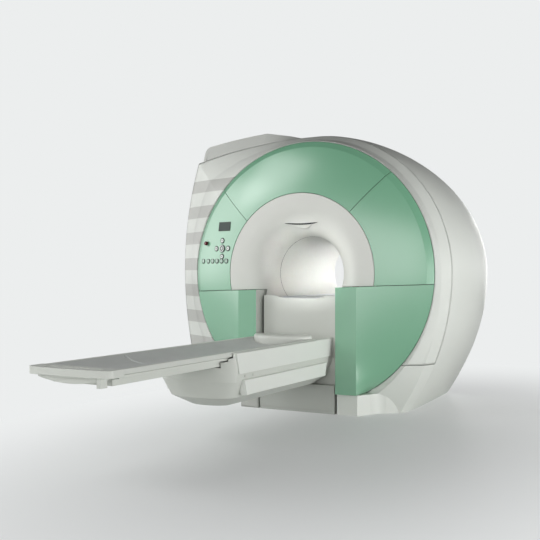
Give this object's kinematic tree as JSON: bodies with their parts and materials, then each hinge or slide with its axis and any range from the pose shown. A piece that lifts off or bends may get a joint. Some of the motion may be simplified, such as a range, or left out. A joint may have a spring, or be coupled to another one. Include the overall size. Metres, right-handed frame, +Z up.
{
  "type": "mri scanner",
  "caption": "Magnetic resonance scanner with a covered magnet, flared bore, dished control ring and a padded patient table that lifts and slides.",
  "frame": {"origin": "on the floor under the isocentre, the centre of the four anchor holes of the magnet feet", "axes": "+Z up, +Y along the bore into the magnet, +X across the table to the right of someone facing the bore"},
  "size_m": [2.5668, 4.277, 2.296],
  "materials": {
    "band_grey": "moulded grey band",
    "bore_white": "smooth warm white liner",
    "aluminium": "extruded aluminium",
    "dark_plastic": "dark moulded plastic",
    "steel": "machined steel",
    "frame_steel": "powder coated steel",
    "striped_cover": "satin white cover with grey bands",
    "screen_glass": "dark display window",
    "board_white": "smooth laminate",
    "copper_coil": "resin potted winding",
    "key_light": "soft touch key",
    "magnet_steel": "painted steel",
    "pad_grey": "coated upholstery fabric",
    "white_cover": "satin white cover",
    "ring_paint": "satin painted cover, grey green",
    "ring_paint_dark": "satin painted cover, grey green",
    "key_blue": "soft touch key, blue",
    "stop_red": "gloss red",
    "roller_rubber": "roller rubber",
    "panel_white": "ribbed light cover"
  },
  "bodies": {
    "scanner": {"bore_liner": "bore_white", "bore_track": "aluminium", "coil_wedges": "dark_plastic", "cold_head": "steel", "cover_frame": "frame_steel", "crest_cover": "striped_cover", "display": "screen_glass", "front_funnel": "bore_white", "front_shell": "striped_cover", "gradient_coil": "copper_coil", "guide_rail_left": "steel", "guide_rail_right": "steel", "lift_motor": "frame_steel", "magnet_feet": "magnet_steel", "magnet_vessel": "magnet_steel", "rear_cover": "white_cover", "rear_funnel": "bore_white", "rf_body_coil": "copper_coil", "ring_left": "ring_paint", "ring_lower_left": "ring_paint_dark", "ring_lower_right": "ring_paint_dark", "ring_right": "ring_paint", "ring_top": "ring_paint", "side_cover_left": "striped_cover", "side_cover_right": "striped_cover", "skirt_left": "white_cover", "skirt_right": "white_cover", "stop_collar": "dark_plastic", "tower_base": "panel_white", "tower_frame": "frame_steel", "tower_panel": "panel_white"},
    "lift": {"lift_carriage": "frame_steel", "table_beam": "frame_steel", "table_support": "board_white", "screw_caps": "board_white", "band_lower_left": "band_grey", "band_lower_right": "band_grey", "band_upper_left": "band_grey", "band_upper_right": "band_grey"},
    "tabletop": {"table_board": "board_white", "head_cap": "board_white", "end_lip": "board_white", "mattress_body": "pad_grey", "mattress_head": "pad_grey"},
    "lift_screw_body": {"lift_screw": "steel"},
    "support_roller_1_body": {"support_roller_1": "roller_rubber"},
    "support_roller_2_body": {"support_roller_2": "roller_rubber"},
    "stop_button_body": {"stop_button": "stop_red"},
    "jog_dial_body": {"jog_dial": "key_light"},
    "key_up_body": {"key_up": "key_light"},
    "key_down_body": {"key_down": "key_light"},
    "key_in_body": {"key_in": "key_light"},
    "key_out_body": {"key_out": "key_light"},
    "row_key_1_body": {"row_key_1": "key_blue"},
    "row_key_2_body": {"row_key_2": "key_light"},
    "row_key_3_body": {"row_key_3": "key_light"},
    "row_key_4_body": {"row_key_4": "key_light"},
    "row_key_5_body": {"row_key_5": "key_light"},
    "row_key_6_body": {"row_key_6": "key_light"}
  },
  "joints": [
    {"name": "table_lift", "type": "slide", "parent": "scanner", "child": "lift", "axis": [0, 0, 1], "range_m": [0, 0.405]},
    {"name": "tabletop_slide", "type": "slide", "parent": "lift", "child": "tabletop", "axis": [0, 1, 0], "range_m": [0, 0.25]},
    {"name": "lift_screw_turn", "type": "hinge", "parent": "scanner", "child": "lift_screw_body", "pos_m": [0, -0.7, 0.5], "axis": [0, 0, 1], "range_deg": [0, 7300]},
    {"name": "support_roller_1_turn", "type": "hinge", "parent": "lift", "child": "support_roller_1_body", "pos_m": [0, -2.155, 0.4827], "axis": [-1, 0, 0], "range_deg": [0, 720]},
    {"name": "support_roller_2_turn", "type": "hinge", "parent": "lift", "child": "support_roller_2_body", "pos_m": [0, -1.315, 0.4827], "axis": [-1, 0, 0], "range_deg": [0, 720]},
    {"name": "stop_button_press", "type": "slide", "parent": "scanner", "child": "stop_button_body", "axis": [0.3584, 0.9284, -0.0982], "range_m": [0, 0.005], "stiffness_N_per_m": 1500, "springref_m": -0.004},
    {"name": "jog_dial_turn", "type": "hinge", "parent": "scanner", "child": "jog_dial_body", "pos_m": [-0.729, -0.74113, 1.29], "axis": [-0.2365, -0.9694, 0.0665], "range_deg": [-45, 45], "stiffness_Nm_per_rad": 0.4},
    {"name": "key_up_press", "type": "slide", "parent": "scanner", "child": "key_up_body", "axis": [0.2428, 0.9659, -0.0903], "range_m": [0, 0.002], "stiffness_N_per_m": 900, "springref_m": -0.002},
    {"name": "key_down_press", "type": "slide", "parent": "scanner", "child": "key_down_body", "axis": [0.2316, 0.9718, -0.0442], "range_m": [0, 0.002], "stiffness_N_per_m": 900, "springref_m": -0.002},
    {"name": "key_in_press", "type": "slide", "parent": "scanner", "child": "key_in_body", "axis": [0.1951, 0.9789, -0.0603], "range_m": [0, 0.002], "stiffness_N_per_m": 900, "springref_m": -0.002},
    {"name": "key_out_press", "type": "slide", "parent": "scanner", "child": "key_out_body", "axis": [0.2783, 0.9578, -0.0718], "range_m": [0, 0.002], "stiffness_N_per_m": 900, "springref_m": -0.002},
    {"name": "row_key_1_press", "type": "slide", "parent": "scanner", "child": "row_key_1_body", "axis": [0.3784, 0.9248, -0.0403], "range_m": [0, 0.002], "stiffness_N_per_m": 900, "springref_m": -0.002},
    {"name": "row_key_2_press", "type": "slide", "parent": "scanner", "child": "row_key_2_body", "axis": [0.3361, 0.9411, -0.0384], "range_m": [0, 0.002], "stiffness_N_per_m": 900, "springref_m": -0.002},
    {"name": "row_key_3_press", "type": "slide", "parent": "scanner", "child": "row_key_3_body", "axis": [0.3013, 0.9528, -0.0366], "range_m": [0, 0.002], "stiffness_N_per_m": 900, "springref_m": -0.002},
    {"name": "row_key_4_press", "type": "slide", "parent": "scanner", "child": "row_key_4_body", "axis": [0.2665, 0.9632, -0.0346], "range_m": [0, 0.002], "stiffness_N_per_m": 900, "springref_m": -0.002},
    {"name": "row_key_5_press", "type": "slide", "parent": "scanner", "child": "row_key_5_body", "axis": [0.2318, 0.9722, -0.0323], "range_m": [0, 0.002], "stiffness_N_per_m": 900, "springref_m": -0.002},
    {"name": "row_key_6_press", "type": "slide", "parent": "scanner", "child": "row_key_6_body", "axis": [0.1972, 0.9799, -0.0296], "range_m": [0, 0.002], "stiffness_N_per_m": 900, "springref_m": -0.002}
  ],
  "couplings": [
    {"joint": "lift_screw_turn", "follows": "table_lift", "rad_per_m": 314.16},
    {"joint": "support_roller_1_turn", "follows": "tabletop_slide", "rad_per_m": 50},
    {"joint": "support_roller_2_turn", "follows": "tabletop_slide", "rad_per_m": 50}
  ]
}
